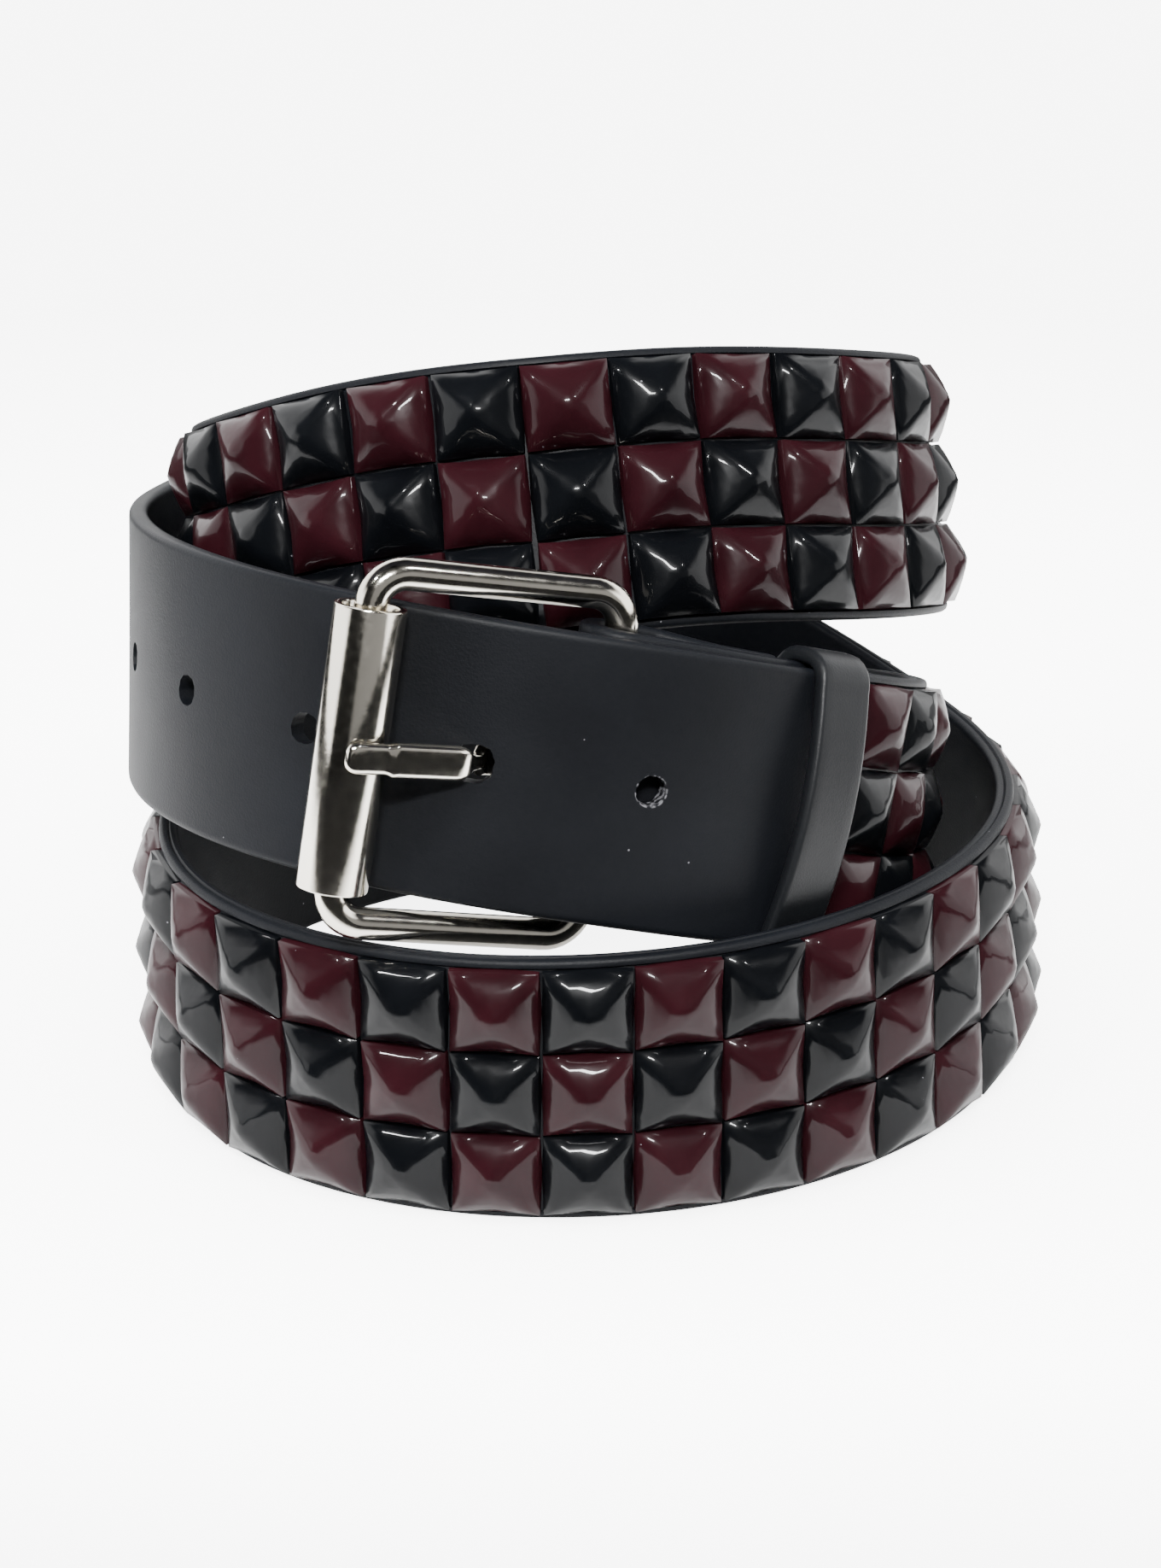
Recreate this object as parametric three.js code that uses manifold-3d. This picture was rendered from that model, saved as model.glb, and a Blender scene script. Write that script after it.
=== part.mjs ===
// A studded leather belt, buckled and coiled in three turns, standing on its lower edge.
// Millimetres, +Z up, the buckle at the front, which is -Y. The origin is on the floor, under
// the middle of the coil.
import * as THREE from 'three';
import { mergeVertices } from 'three/addons/utils/BufferGeometryUtils.js';
import Module from 'manifold-3d';

// Strap and coil
const coilRadius = 62;
const strapWidth = 41.5;
const strapThickness = 3;
const edgeChamfer = 0.6;
const gap = 0.3; // clearance between pieces that lie on each other
const turnSlack = 1.6; // room between the studs of one turn and the strap of the next

// Studs
const studPitch = 13;
const studRows = 3;
const studHeight = 5; // apex above the leather
const studRimWidth = 12.4;
const studRimHeight = 2.4; // middle of each side's rim above the leather
const studCornerHeight = 1.2; // corners of the rim above the leather
const studHollow = 1.5; // how far the middle of each side draws in
const grooveHeight = 0.9; // bottom of the grooves between studs, above the leather
const lowerColumns = 35; // columns of the first of the two fields that meet
const plainBuckleEnd = 41.5; // strap without studs from the heel bar on
const studEndAngle = 934; // the studs end before this angle along the coil

// Buckle
const wireDiameter = 4.8;
const rollerDiameter = 10.4;
const rollerLength = 41;
const frameWidth = 50.8; // between the middles of the side bars
const frameCorner = 4.9;
const frameReach = 34.4; // strap length between the heel bar and the roller
const prongWidth = 5;
const prongThickness = 2;
const foldLength = 24; // how far the end of the strap runs back behind the heel bar
const heelAngle = 1.4; // where the heel bar is, in degrees along the coil
const heelSlack = 0.6; // room round the heel bar, since the strap twists in the buckle

// Keeper and tail
const keeperWidth = 9.6;
const keeperThickness = 2.4;
const keeperFromHeel = 33.4; // strap length from the heel bar to the middle of the keeper
const keeperSlack = 0.5;
const holeDiameter = 4.6;
const holeSpacing = 25.4;
const holesTowardsTip = 1; // holes beyond the one that the prong is in
const holesAlongTail = 3; // holes on the other side of it
const prongHoleFromHeel = 18.9;
const prongHoleLength = 5.6;
const keeperBow = 1.8; // how far the middle of its front stands off
const tipPastKeeper = 3.4;
const tipRounding = 1.5;

// The way the strap runs, a row every 45 degrees from the buckle on. The lower edge's radius is
// a share of the coil's radius and a number of layers, which are a strap with its studs thick.
// Its height is a share of the strap's width, and lean is how far the top edge leans out from
// upright, in degrees. A smooth curve blends the rows.
const rowStep = 45;
const route = [
  // The buckle end, then the inner strand round the right and the back, down to the floor
  { radius: 0.955, layer: 0, height: 1.11, lean: -8.5 },
  { radius: 0.87, layer: 0, height: 0.71, lean: -3.5 },
  { radius: 0.89, layer: 0, height: 0.335, lean: 1 },
  { radius: 0.885, layer: 0, height: 0.085, lean: 0.5 },
  { radius: 0.872, layer: 0, height: 0, lean: -0.5 },
  { radius: 0.89, layer: 0, height: 0, lean: -1.5 },
  // The bottom turn, standing on the floor
  { radius: 1, layer: 0, height: 0, lean: -2.5 },
  { radius: 1.11, layer: 0.3, height: 0, lean: 2 },
  { radius: 1.028, layer: 0.6, height: 0, lean: 0.5 },
  { radius: 0.966, layer: 1, height: 0, lean: -5 },
  { radius: 1.032, layer: 1, height: 0, lean: -3 },
  // The middle strand, rising across the back
  { radius: 1.01, layer: 1, height: 0, lean: -1 },
  { radius: 0.974, layer: 1, height: 0.49, lean: 0.5 },
  { radius: 0.9, layer: 1, height: 1.05, lean: 2 },
  { radius: 0.76, layer: 1, height: 1.35, lean: 2.5 },
  // The top turn, leaning back
  { radius: 0.47, layer: 1.3, height: 1.79, lean: -18 },
  { radius: 0.372, layer: 1.6, height: 1.915, lean: -23.5 },
  { radius: 0.29, layer: 2, height: 1.9, lean: -25.5 },
  { radius: 0.58, layer: 2, height: 1.695, lean: -13 },
  // The outer strand, down across the back and round the left as the plain tail
  { radius: 0.947, layer: 2, height: 1.27, lean: -1 },
  { radius: 1.115, layer: 2, height: 1.025, lean: 3 },
  { radius: 0.953, layer: 2, height: 0.835, lean: 5.5 },
  { radius: 0.76, layer: 2, height: 1.045, lean: -0.5 },
  { radius: 0.84, layer: 2, height: 1.25, lean: -16 },
];
const turns = 3;

// Facets
const plainStep = 6.5; // length of a facet of the strap where there are no studs
const sampleStep = 1; // degrees between the points that measure the strap's length
const wireSides = 10;
const rollerSides = 20;
const cornerSteps = 4;

const leather = new THREE.MeshStandardMaterial({ color: 0x14181f, roughness: 0.55, metalness: 0 });
const enamel = new THREE.MeshStandardMaterial({ color: 0x3a0f16, roughness: 0.12, metalness: 0 });
const nickel = new THREE.MeshStandardMaterial({ color: 0xd8d2c6, roughness: 0.15, metalness: 1 });

const wasm = await Module();
wasm.setup();

const radians = THREE.MathUtils.degToRad;
const faceHeight = strapThickness / 2; // the leather's outer face above the middle of the strap

// The route in millimetres. Its last rows repeat the first ones, one thickness further out,
// because the tail lies on the buckle end of the strap.
function routeRows() {
  const layerPitch = strapThickness + studHeight + turnSlack;
  const rows = route.map(({ radius, layer, height, lean }) => ({
    radius: radius * coilRadius + layer * layerPitch,
    height: height * strapWidth,
    lean,
  }));
  const steepest = Math.min(...rows.slice(0, 2).map((row) => row.lean));
  const lay = (strapThickness + gap) / Math.cos(radians(steepest)) + gap / 2;
  const last = rows.at(-1);
  const overlap = rows.slice(0, 4).map((row) => ({ ...row, radius: row.radius + lay }));
  return { rows: [{ ...last, radius: last.radius - lay }, ...rows, ...overlap], lay };
}
const { rows, lay } = routeRows();

// A value of the route and its slope at an angle, blended from four rows.
function blend(key, angle) {
  const place = Math.max(0, angle / rowStep);
  const first = Math.min(Math.floor(place), rows.length - 4);
  const f = place - first;
  const [a, b, c, d] = rows.slice(first, first + 4).map((row) => row[key]);
  const value = ((1 - f) ** 3 * a + (3 * f ** 3 - 6 * f ** 2 + 4) * b
    + (-3 * f ** 3 + 3 * f ** 2 + 3 * f + 1) * c + f ** 3 * d) / 6;
  const slope = (-3 * (1 - f) ** 2 * a + (9 * f ** 2 - 12 * f) * b
    + (-9 * f ** 2 + 6 * f + 3) * c + 3 * f ** 2 * d) / 6 / radians(rowStep);
  return { value, slope };
}

// The strap at an angle: its middle, and the directions along it, across it and outwards.
function sectionAt(angle) {
  const turn = radians(angle);
  const radius = blend('radius', angle);
  const height = blend('height', angle);
  const lean = radians(blend('lean', angle).value);
  const foot = new THREE.Vector3(
    radius.value * Math.sin(turn), -radius.value * Math.cos(turn), height.value);
  const along = new THREE.Vector3(
    radius.slope * Math.sin(turn) + radius.value * Math.cos(turn),
    -radius.slope * Math.cos(turn) + radius.value * Math.sin(turn),
    height.slope).normalize();
  const level = new THREE.Vector3(along.y, -along.x, 0).normalize();
  const upright = new THREE.Vector3().crossVectors(level, along);
  const across = upright.clone().multiplyScalar(Math.cos(lean)).addScaledVector(level, Math.sin(lean));
  const out = new THREE.Vector3().crossVectors(along, across);
  const middle = foot.clone().addScaledVector(across, strapWidth / 2);
  return { middle, along, across, out };
}

// Sections along the whole route, each with the length of strap from the first one.
function measureRoute() {
  const sections = [];
  let length = 0;
  for (let angle = 0; angle <= (rows.length - 3) * rowStep; angle += sampleStep) {
    const section = sectionAt(angle);
    if (sections.length) length += section.middle.distanceTo(sections.at(-1).middle);
    sections.push({ ...section, length });
  }
  return sections;
}
const sections = measureRoute();

function lengthAt(angle) {
  const place = angle / sampleStep;
  const first = Math.min(Math.floor(place), sections.length - 2);
  return THREE.MathUtils.lerp(sections[first].length, sections[first + 1].length, place - first);
}

// The section at a length of strap.
function section(length) {
  let low = 0;
  let high = sections.length - 1;
  while (high - low > 1) {
    const half = (low + high) >> 1;
    if (sections[half].length > length) high = half;
    else low = half;
  }
  const [before, after] = [sections[low], sections[high]];
  const share = (length - before.length) / (after.length - before.length);
  const between = (key) => before[key].clone().lerp(after[key], share);
  return {
    middle: between('middle'),
    along: between('along').normalize(),
    across: between('across').normalize(),
    out: between('out').normalize(),
  };
}

// A point given by the length of strap, the way across it and the height over its middle.
function place(length, across, height) {
  const at = section(length);
  return at.middle.addScaledVector(at.across, across).addScaledVector(at.out, height);
}

const heelInner = lengthAt(heelAngle); // the heel bar, along the buckle end
const heelOuter = lengthAt(heelAngle + turns * 360); // the heel bar, along the tail over it
const rollerAt = heelOuter - frameReach;
const prongHoleAt = heelOuter - prongHoleFromHeel;
const keeperAt = heelOuter + keeperFromHeel;
const tipAt = keeperAt + keeperWidth / 2 + tipPastKeeper;
const studStart = heelInner + plainBuckleEnd;
const studColumns = Math.floor((lengthAt(studEndAngle) - studStart) / studPitch);
const heelDepth = faceHeight + heelSlack + wireDiameter / 2; // the heel bar under the buckle end
const rollerRise = faceHeight + gap + rollerDiameter / 2; // the roller over the tail

// A mesh from points and triangles, turned so that its faces point out.
function solidMesh(name, points, triangles, material) {
  let volume = 0;
  for (const [a, b, c] of triangles) {
    volume += points[a].dot(new THREE.Vector3().crossVectors(points[b], points[c]));
  }
  const outward = volume > 0 ? triangles : triangles.map(([a, b, c]) => [a, c, b]);
  const geometry = new THREE.BufferGeometry().setFromPoints(points);
  geometry.setIndex(outward.flat());
  const mesh = new THREE.Mesh(geometry, material);
  mesh.name = name;
  return mesh;
}

// Two triangles for four corners in order.
function quad(a, b, c, d) {
  return [[a, b, c], [a, c, d]];
}

// A solid through rings of points; a closed one joins its last ring to its first.
function loft(name, rings, material, closed = false) {
  const count = rings[0].length;
  const triangles = [];
  const spans = closed ? rings.length : rings.length - 1;
  for (let i = 0; i < spans; i += 1) {
    const here = i * count;
    const next = ((i + 1) % rings.length) * count;
    for (let j = 0; j < count; j += 1) {
      const k = (j + 1) % count;
      triangles.push(...quad(here + j, here + k, next + k, next + j));
    }
  }
  if (!closed) {
    const end = (rings.length - 1) * count;
    for (let j = 1; j < count - 1; j += 1) {
      triangles.push([0, j + 1, j], [end, end + j, end + j + 1]);
    }
  }
  return solidMesh(name, rings.flat(), triangles, material);
}

// A rectangle with cut corners round a point.
function ring({ middle, across, out }, width, thickness, chamfer) {
  const [w, t] = [width / 2, thickness / 2];
  const corners = [
    [w, t - chamfer], [w - chamfer, t], [chamfer - w, t], [-w, t - chamfer],
    [-w, chamfer - t], [chamfer - w, -t], [w - chamfer, -t], [w, chamfer - t],
  ];
  return corners.map(([a, b]) => middle.clone().addScaledVector(across, a).addScaledVector(out, b));
}

function toSolid(geometry) {
  const bare = geometry.clone();
  bare.deleteAttribute('normal');
  bare.deleteAttribute('uv');
  const merged = mergeVertices(bare, 1e-3);
  return new wasm.Manifold(new wasm.Mesh({
    numProp: 3,
    vertProperties: new Float32Array(merged.attributes.position.array),
    triVerts: new Uint32Array(merged.index.array),
  }));
}

function toGeometry(solid) {
  const { vertProperties, triVerts } = solid.getMesh();
  const geometry = new THREE.BufferGeometry();
  geometry.setAttribute('position', new THREE.BufferAttribute(vertProperties, 3));
  geometry.setIndex(new THREE.BufferAttribute(triVerts, 1));
  return geometry;
}

function loftSolid(rings) {
  return toSolid(loft('', rings, leather).geometry);
}

function solidToMesh(name, solid, material) {
  const mesh = new THREE.Mesh(toGeometry(solid), material);
  mesh.name = name;
  return mesh;
}

// A geometry whose X, Y and Z lie along, across and out of the strap at a length of it.
function onStrap(geometry, length, height = 0) {
  const at = section(length);
  const basis = new THREE.Matrix4().makeBasis(at.along, at.across, at.out);
  basis.setPosition(at.middle.addScaledVector(at.out, height));
  return geometry.applyMatrix4(basis);
}

// The buckle end: the strap's free end behind the heel bar, round the bar and out over it.
function foldRings() {
  const bend = heelDepth;
  const slopeStart = wireDiameter + heelSlack;
  const slopeEnd = 3 * slopeStart;
  const stations = [];
  for (let t = foldLength; t > 0; t -= plainStep / 2) {
    const slope = THREE.MathUtils.smoothstep(t, slopeStart, slopeEnd);
    const depth = THREE.MathUtils.lerp(2 * bend, strapThickness + gap, slope);
    const over = section(heelInner + t);
    stations.push({
      middle: over.middle.addScaledVector(over.out, -depth),
      across: buckle.across.clone().lerp(over.across, Math.min(1, t / slopeEnd)).normalize(),
    });
  }
  const { out, along } = section(heelInner);
  for (let turn = 180; turn >= 0; turn -= 30) {
    const middle = buckle.heel.clone()
      .addScaledVector(out, bend * Math.cos(radians(turn)))
      .addScaledVector(along, -bend * Math.sin(radians(turn)));
    stations.push({ middle, across: buckle.across });
  }
  return stations.map(({ middle, across }, i) => {
    const before = stations[Math.max(0, i - 1)].middle;
    const after = i < stations.length - 1 ? stations[i + 1].middle : place(heelInner + 1, 0, 0);
    const ahead = after.clone().sub(before).normalize();
    const away = new THREE.Vector3().crossVectors(ahead, across).normalize();
    return ring({ middle, across, out: away }, strapWidth, strapThickness, edgeChamfer);
  });
}

// Lengths of strap at which its facets meet: where the studs do, and evenly elsewhere.
function facetLengths() {
  const studEnd = studStart + studColumns * studPitch;
  const evenly = (from, to, step) => {
    const count = Math.ceil((to - from) / step);
    return Array.from({ length: count }, (unused, i) => from + ((to - from) * i) / count);
  };
  return [
    ...evenly(heelInner, studStart, plainStep).slice(1),
    ...evenly(studStart, studEnd, studPitch),
    ...evenly(studEnd, tipAt - tipRounding, plainStep),
    tipAt - tipRounding,
  ];
}

function leatherStrap() {
  const rings = foldRings();
  for (const length of facetLengths()) {
    rings.push(ring(section(length), strapWidth, strapThickness, edgeChamfer));
  }
  rings.push(ring(section(tipAt), strapWidth - 2 * tipRounding, strapThickness, edgeChamfer));
  let solid = loftSolid(rings);

  // Punched holes, the long one that the prong comes through, and the slot for it in the fold
  const through = 2 * strapThickness;
  for (let i = -holesAlongTail; i <= holesTowardsTip; i += 1) {
    if (i === 0) continue;
    const punch = new THREE.CylinderGeometry(holeDiameter / 2, holeDiameter / 2, through, 12);
    punch.rotateX(Math.PI / 2);
    solid = solid.subtract(toSolid(onStrap(punch, prongHoleAt + i * holeSpacing)));
  }
  const prongHole = new THREE.BoxGeometry(prongHoleLength, prongWidth + 2 * gap, through);
  solid = solid.subtract(toSolid(onStrap(prongHole, prongHoleAt)));
  const slotLength = 2 * (heelDepth + strapThickness);
  const slotDepth = 2 * heelDepth + 1.5 * strapThickness;
  const slot = new THREE.BoxGeometry(slotLength, prongWidth + 2 * gap, slotDepth);
  slot.translate(-slotLength / 5, 0, 0);
  solid = solid.subtract(toSolid(onStrap(slot, heelInner, -heelDepth)));

  return solidToMesh('leather_strap', solid, leather);
}

// A field of studs side by side, fused into one body with a thin web under the grooves. Its
// underside follows the facets of the strap, a gap away from them.
function studField(name, firstColumn, columns) {
  const points = [];
  const triangles = [];
  const start = studStart + firstColumn * studPitch + (firstColumn ? gap : 0);
  const end = studStart + (firstColumn + columns) * studPitch;
  const lengthOf = (column) => start + ((end - start) * column) / columns;
  const facets = Array.from({ length: columns + 1 }, (unused, column) => (
    studStart + (firstColumn + column) * studPitch));
  const strapUnder = [facets[0] - grooveHeight, ...facets, facets.at(-1) + grooveHeight].map((length) => (
    ring(section(length), strapWidth + 2 * gap, strapThickness + 2 * gap, edgeChamfer)));
  const acrossOf = (row) => (studRows / 2 - row) * studPitch;
  const grid = (height) => {
    const first = points.length;
    for (let column = 0; column <= columns; column += 1) {
      for (let row = 0; row <= studRows; row += 1) {
        points.push(place(lengthOf(column), acrossOf(row), faceHeight + height));
      }
    }
    return (column, row) => first + column * (studRows + 1) + row;
  };
  const groove = grid(grooveHeight);
  const under = grid(-faceHeight);

  // The rim's corners and the middles of its sides, as shares of half its width
  const hollow = 1 - studHollow / (studRimWidth / 2);
  const rim = [[-1, 1], [0, hollow], [1, 1], [hollow, 0], [1, -1], [0, -hollow], [-1, -1], [-hollow, 0]];
  for (let column = 0; column < columns; column += 1) {
    const middle = (lengthOf(column) + lengthOf(column + 1)) / 2;
    const half = Math.min(studRimWidth, lengthOf(1) - lengthOf(0) - gap) / 2;
    for (let row = 0; row < studRows; row += 1) {
      const across = acrossOf(row + 0.5);
      const first = points.length;
      for (const [a, b] of rim) {
        const height = Math.abs(a) === Math.abs(b) ? studCornerHeight : studRimHeight;
        points.push(place(middle + a * half, across + (b * studRimWidth) / 2, faceHeight + height));
      }
      points.push(place(middle, across, faceHeight + studHeight));
      const corners = [
        groove(column, row), groove(column + 1, row), groove(column + 1, row + 1), groove(column, row + 1)];
      for (let side = 0; side < 4; side += 1) {
        const [a, b, c] = [2 * side, 2 * side + 1, (2 * side + 2) % 8].map((i) => first + i);
        const [from, to] = [corners[side], corners[(side + 1) % 4]];
        triangles.push([from, to, b], [from, b, a], [to, c, b], [a, b, first + 8], [b, c, first + 8]);
      }
      const below = [under(column, row), under(column, row + 1), under(column + 1, row + 1), under(column + 1, row)];
      triangles.push(...quad(...below));
    }
    triangles.push(...quad(groove(column, 0), under(column, 0), under(column + 1, 0), groove(column + 1, 0)));
    triangles.push(...quad(
      groove(column + 1, studRows), under(column + 1, studRows), under(column, studRows), groove(column, studRows)));
  }
  for (let row = 0; row < studRows; row += 1) {
    triangles.push(...quad(groove(0, row + 1), under(0, row + 1), under(0, row), groove(0, row)));
    triangles.push(...quad(
      groove(columns, row), under(columns, row), under(columns, row + 1), groove(columns, row + 1)));
  }
  const block = toSolid(solidMesh(name, points, triangles, enamel).geometry);
  return solidToMesh(name, block.subtract(loftSolid(strapUnder)), enamel);
}

// The buckle's own plane, from the heel bar to the roller.
function buckleAxes() {
  const heel = place(heelInner, 0, -heelDepth);
  const roller = place(rollerAt, 0, rollerRise);
  const forward = roller.clone().sub(heel);
  const reach = forward.length();
  forward.normalize();
  const across = section(heelInner).across.clone().add(section(rollerAt).across).normalize();
  across.addScaledVector(forward, -across.dot(forward)).normalize();
  const out = new THREE.Vector3().crossVectors(across, forward).normalize();
  return { heel, roller, forward, across, out, reach };
}
const buckle = buckleAxes();

// A point of the buckle's plane, raised over it.
function onBuckle(forward, across, height = 0) {
  return buckle.heel.clone()
    .addScaledVector(buckle.forward, forward)
    .addScaledVector(buckle.across, across)
    .addScaledVector(buckle.out, height);
}

// A round bent wire: a rectangle with round corners from the heel bar to the roller.
function buckleFrame() {
  const corners = [
    [buckle.reach, 1, 0], [buckle.reach, -1, 270], [0, -1, 180], [0, 1, 90],
  ];
  const rings = [];
  for (const [forward, side, firstTurn] of corners) {
    const inward = forward ? -frameCorner : frameCorner;
    for (let step = 0; step <= cornerSteps; step += 1) {
      const turn = radians(firstTurn + 90 - (90 * step) / cornerSteps);
      const [f, a] = [Math.cos(turn), Math.sin(turn)];
      const centre = onBuckle(
        forward + inward + frameCorner * f, side * (frameWidth / 2 - frameCorner) + frameCorner * a);
      const away = buckle.forward.clone().multiplyScalar(f).addScaledVector(buckle.across, a);
      rings.push(Array.from({ length: wireSides }, (unused, i) => {
        const angle = (2 * Math.PI * i) / wireSides;
        return centre.clone()
          .addScaledVector(away, (wireDiameter / 2) * Math.cos(angle))
          .addScaledVector(buckle.out, (wireDiameter / 2) * Math.sin(angle));
      }));
    }
  }
  return loft('buckle_frame', rings, nickel, true);
}

// A rolled tube that turns on the front bar of the frame.
function roller() {
  const [inner, outer, half] = [wireDiameter / 2 + gap, rollerDiameter / 2, rollerLength / 2];
  const profile = [[inner, -half], [outer, -half], [outer, half], [inner, half], [inner, -half]];
  const tube = new THREE.LatheGeometry(profile.map(([x, y]) => new THREE.Vector2(x, y)), rollerSides);
  tube.applyMatrix4(new THREE.Matrix4()
    .makeBasis(buckle.forward, buckle.across, buckle.out.clone().negate())
    .setPosition(buckle.roller));
  return solidToMesh('roller', toSolid(tube), nickel);
}

// A flat pin hooked round the heel bar. It runs under the tail, up through the long hole and
// over the strap, and its tip lies on the roller.
function prong() {
  const hookRadius = wireDiameter / 2 + gap + prongThickness / 2;
  const hookEnd = -110;
  const middles = [];
  for (let turn = hookEnd + 360; turn >= 0; turn -= 25) {
    middles.push(onBuckle(-hookRadius * Math.sin(radians(turn)), 0, hookRadius * Math.cos(radians(turn))));
  }
  const clear = faceHeight + gap + prongThickness / 2;
  const lead = 1.7;
  middles.push(place(prongHoleAt + lead, 0, -clear));
  middles.push(place(prongHoleAt - lead, 0, clear));
  const rest = rollerDiameter / 2 + gap + prongThickness / 2;
  const tipPastRoller = 2.6;
  middles.push(onBuckle(buckle.reach, 0, rest), onBuckle(buckle.reach + tipPastRoller, 0, rest));
  const rings = middles.map((middle, i) => {
    const before = middles[Math.max(0, i - 1)];
    const after = middles[Math.min(middles.length - 1, i + 1)];
    const along = after.clone().sub(before).normalize();
    const out = new THREE.Vector3().crossVectors(buckle.across, along).normalize();
    const width = i === middles.length - 1 ? prongWidth * 0.7 : prongWidth;
    return ring({ middle, across: buckle.across, out }, width, prongThickness, prongThickness / 4);
  });
  return loft('prong', rings, nickel);
}

// A leather loop round the tail and the buckle end of the strap under it.
function keeper() {
  const top = faceHeight + keeperSlack;
  const bottom = -(lay + faceHeight + keeperSlack);
  const half = strapWidth / 2 + keeperSlack;
  const corner = 2 * keeperSlack;
  const loop = (grow) => {
    const outline = [];
    const corners = [[half, top, 0], [-half, top, 90], [-half, bottom, 180], [half, bottom, 270]];
    for (const [across, height, firstTurn] of corners) {
      const middle = [across - Math.sign(across) * corner, height > 0 ? height - corner : height + corner];
      for (const turn of [0, 45, 90]) {
        const angle = radians(firstTurn + turn);
        outline.push([
          middle[0] + (corner + grow) * Math.cos(angle), middle[1] + (corner + grow) * Math.sin(angle)]);
      }
      if (firstTurn === 0) {
        for (const share of [0.5, 0, -0.5]) {
          outline.push([share * (half - corner), top + grow + keeperBow * (1 - share ** 2)]);
        }
      }
    }
    return outline;
  };
  const rings = [-1, 0, 1].map((side) => keeperAt + (side * keeperWidth) / 2)
    .map((length) => [loop(0), loop(keeperThickness)].map((outline) => (
      outline.map(([across, height]) => place(length, across, height)))));
  const count = rings[0][0].length;
  const points = rings.flat(2);
  const triangles = [];
  const index = (station, wall, i) => (station * 2 + wall) * count + (i % count);
  for (let i = 0; i < count; i += 1) {
    for (let station = 0; station < rings.length - 1; station += 1) {
      triangles.push(...quad(
        index(station, 1, i), index(station, 1, i + 1), index(station + 1, 1, i + 1), index(station + 1, 1, i)));
      triangles.push(...quad(
        index(station, 0, i + 1), index(station, 0, i), index(station + 1, 0, i), index(station + 1, 0, i + 1)));
    }
    const last = rings.length - 1;
    triangles.push(...quad(index(0, 0, i), index(0, 0, i + 1), index(0, 1, i + 1), index(0, 1, i)));
    triangles.push(...quad(index(last, 0, i + 1), index(last, 0, i), index(last, 1, i), index(last, 1, i + 1)));
  }
  return solidMesh('keeper', points, triangles, leather);
}

const belt = new THREE.Group();
belt.add(
  leatherStrap(),
  studField('studs_lower', 0, lowerColumns),
  studField('studs_upper', lowerColumns, studColumns - lowerColumns),
  buckleFrame(),
  roller(),
  prong(),
  keeper(),
);

// The origin goes under the middle of the whole, on the floor.
const bounds = new THREE.Box3().setFromObject(belt, true);
const middle = bounds.getCenter(new THREE.Vector3());
belt.position.set(-middle.x, -middle.y, -bounds.min.z);

export default belt;
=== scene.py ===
"""A studded leather belt, buckled and coiled in three turns, standing on its lower edge.

The strap is modelled flat, as a belt is cut, and then coiled along its route. The studs are one
stud, copied into place. Lengths in the tables and sizes are millimetres; the scene is in metres.
"""
from math import atan2, ceil, cos, floor, pi, radians, sin

import bpy
from mathutils import Matrix, Vector


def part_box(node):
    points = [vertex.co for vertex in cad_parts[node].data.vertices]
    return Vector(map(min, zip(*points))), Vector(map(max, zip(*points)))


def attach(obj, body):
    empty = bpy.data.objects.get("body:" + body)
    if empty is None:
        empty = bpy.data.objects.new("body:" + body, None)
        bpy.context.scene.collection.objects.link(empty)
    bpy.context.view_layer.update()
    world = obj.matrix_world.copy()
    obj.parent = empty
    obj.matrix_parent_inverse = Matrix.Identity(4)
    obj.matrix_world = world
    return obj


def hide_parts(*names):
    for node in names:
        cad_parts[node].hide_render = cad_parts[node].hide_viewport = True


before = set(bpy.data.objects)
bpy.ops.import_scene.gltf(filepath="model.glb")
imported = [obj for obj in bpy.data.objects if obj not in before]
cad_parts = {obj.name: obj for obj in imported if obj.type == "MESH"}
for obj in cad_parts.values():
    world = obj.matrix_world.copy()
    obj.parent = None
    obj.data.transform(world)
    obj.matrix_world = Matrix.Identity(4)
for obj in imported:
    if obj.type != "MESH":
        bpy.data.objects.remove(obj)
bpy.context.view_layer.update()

MM = 0.001

# Strap and coil
COIL_RADIUS = 62
STRAP_WIDTH = 41.5
STRAP_THICKNESS = 3
EDGE_CHAMFER = 0.6
EDGE_ROUNDING = 1.1
CREASE_FROM_EDGE = 1.35
GAP = 0.3
TURN_SLACK = 1.6

# Studs
STUD_PITCH = 13
STUD_ROWS = 3
STUD_HEIGHT = 5
PLAIN_BUCKLE_END = 41.5
STUD_END_ANGLE = 934

# Buckle
WIRE = 4.8
ROLLER_DIAMETER = 10.4
ROLLER_LENGTH = 41
ROLLER_WALL = 1.15
ROLLER_SPAN = 357.4
ROLLER_SEAM = -125
FRAME_WIDTH = 50.8
FRAME_CORNER = 4.9
FRAME_REACH = 34.4
PRONG_WIDTH = 5
PRONG_THICKNESS = 2
TIP_PAST_ROLLER = 2.6
PRONG_STEP_FROM_TIP = 6.5
PRONG_TURN = 29    # the knot of its line at the upper bend
PRONG_LEAD = 1.1
PRONG_BEND = 1.3
FOLD_LENGTH = 24
HEEL_ANGLE = 1.4
HEEL_SLACK = 0.6

# Keeper and tail
KEEPER_WIDTH = 9.6
KEEPER_THICKNESS = 2.4
KEEPER_FROM_HEEL = 33.4
KEEPER_SLACK = 0.5
KEEPER_CORNER = 2.6
KEEPER_BOW = 2.4
HOLE_DIAMETER = 4.6
HOLE_SPACING = 25.4
HOLES_TOWARDS_TIP = 1
HOLES_ALONG_TAIL = 3
PRONG_HOLE_FROM_HEEL = 18.9
PRONG_HOLE_LENGTH = 5.6
TIP_PAST_KEEPER = 3.4

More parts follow.
